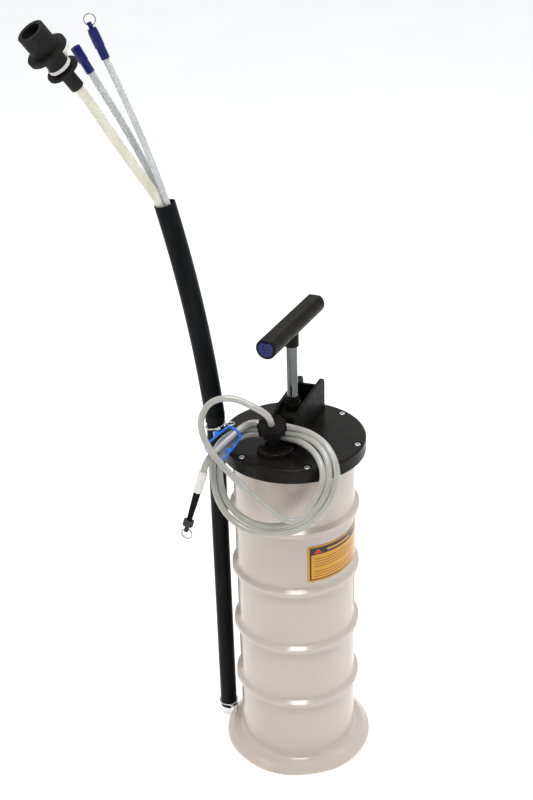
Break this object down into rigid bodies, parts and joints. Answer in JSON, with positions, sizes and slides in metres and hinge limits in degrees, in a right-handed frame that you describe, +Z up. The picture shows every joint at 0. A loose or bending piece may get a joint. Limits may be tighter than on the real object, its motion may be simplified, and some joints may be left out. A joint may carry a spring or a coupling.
{
  "type": "manual fluid transfer pump",
  "caption": "Hand-operated vacuum fluid extractor: ribbed canister on a round foot, T-handle lid pump, coiled suction hose and a storage tube of dip probes.",
  "frame": {"origin": "on the ground, on the container's axis", "axes": "+Z up along the container's axis; -Y is the front, where the hose inlet is; the storage tube stands on the -X side"},
  "size_m": [0.3584, 0.2183, 0.9682],
  "materials": {
    "white_shell": "milky translucent blow-moulded plastic",
    "black_lid": "satin black moulded plastic",
    "black_plastic": "fine-textured black plastic",
    "black_rubber": "soft black rubber",
    "chrome": "bright plated",
    "steel": "bright zinc-plated steel",
    "dark_wire": "dark steel wire",
    "clear_hose": "milky soft hose",
    "blue_plastic": "royal blue plastic",
    "bright_blue": "bright blue plastic",
    "clear_tube": "stiff clear tube",
    "cream_tube": "stiff cream tube",
    "white_plastic": "white nylon",
    "grey_plastic": "grey moulded plastic",
    "label_film": "printed film, no wording"
  },
  "bodies": {
    "base": {"container": "white_shell", "lid": "black_lid", "lid_gasket": "black_rubber", "lid_screws": "steel", "saddle": "black_plastic", "rod_seal": "black_rubber", "gland_bush": "black_lid", "gland_nut": "black_plastic", "pump_cylinder": "grey_plastic", "cylinder_end_cap": "grey_plastic", "inlet_seal": "black_rubber", "inlet_spigot": "black_plastic", "suction_hose_lead": "clear_hose", "suction_hose_coil": "clear_hose", "suction_hose_tail": "clear_hose", "hose_sleeve": "white_plastic", "hose_tip": "black_plastic", "pinch_clamp_body": "bright_blue", "storage_tube_lower": "black_plastic", "storage_tube_cap": "black_plastic", "storage_tube_collar": "black_rubber", "storage_tube_upper": "black_plastic", "tube_tie_upper": "steel", "tube_tie_lower": "steel", "probe_large": "cream_tube", "probe_medium": "clear_tube", "probe_small": "clear_tube", "probe_adapter": "black_rubber", "adapter_tie": "white_plastic", "connector_medium": "blue_plastic", "connector_small": "blue_plastic", "warning_label": "label_film", "side_label": "label_film"},
    "piston_group": {"piston": "white_plastic", "piston_cup": "black_rubber"},
    "handle_group": {"pump_rod": "chrome", "piston_nut": "steel", "rod_buffer": "black_rubber", "handle_grip": "black_plastic", "handle_end_cap_front": "blue_plastic", "handle_end_cap_rear": "blue_plastic"},
    "inlet_nut_body": {"inlet_nut": "black_plastic"},
    "intake_flap_body": {"intake_flap": "black_rubber"},
    "clamp_jaw_body": {"pinch_clamp_jaw": "bright_blue"},
    "hose_plug_body": {"hose_plug": "black_plastic"},
    "split_ring_body": {"split_ring": "dark_wire"},
    "probe_plug_body": {"probe_plug": "blue_plastic"},
    "probe_ring_body": {"probe_plug_ring": "dark_wire"}
  },
  "joints": [
    {"name": "pump_stroke", "type": "slide", "parent": "base", "child": "piston_group", "axis": [0, 0, 1], "range_m": [-0.066, 0.12]},
    {"name": "handle_turn", "type": "hinge", "parent": "piston_group", "child": "handle_group", "pos_m": [0, 0, 0.45], "axis": [0, 0, 1], "continuous": true},
    {"name": "inlet_nut_turn", "type": "hinge", "parent": "base", "child": "inlet_nut_body", "pos_m": [-0.007, -0.05577, 0.49784], "axis": [0, -0.2756, 0.9613], "continuous": true},
    {"name": "intake_flap_lift", "type": "slide", "parent": "base", "child": "intake_flap_body", "axis": [0, 0, 1], "range_m": [0, 0.0014]},
    {"name": "clamp_close", "type": "hinge", "parent": "base", "child": "clamp_jaw_body", "pos_m": [-0.04683, -0.06329, 0.47982], "axis": [0.4328, -0.6946, 0.5747], "range_deg": [-7.5, 0], "stiffness_Nm_per_rad": 0.02},
    {"name": "hose_plug_pull", "type": "slide", "parent": "base", "child": "hose_plug_body", "axis": [-0.2361, -0.2331, -0.9434], "range_m": [0, 0.02]},
    {"name": "split_ring_swing", "type": "hinge", "parent": "hose_plug_body", "child": "split_ring_body", "pos_m": [-0.09842, -0.11568, 0.37582], "axis": [1, 0, 0], "range_deg": [-50, 50]},
    {"name": "probe_plug_pull", "type": "slide", "parent": "base", "child": "probe_plug_body", "axis": [-0.3373, -0.1261, 0.9329], "range_m": [0, 0.02]},
    {"name": "probe_ring_swing", "type": "hinge", "parent": "probe_plug_body", "child": "probe_ring_body", "pos_m": [-0.20583, -0.04827, 0.95501], "axis": [-0.9367, -0.3502, 0], "range_deg": [-35, 35]}
  ]
}
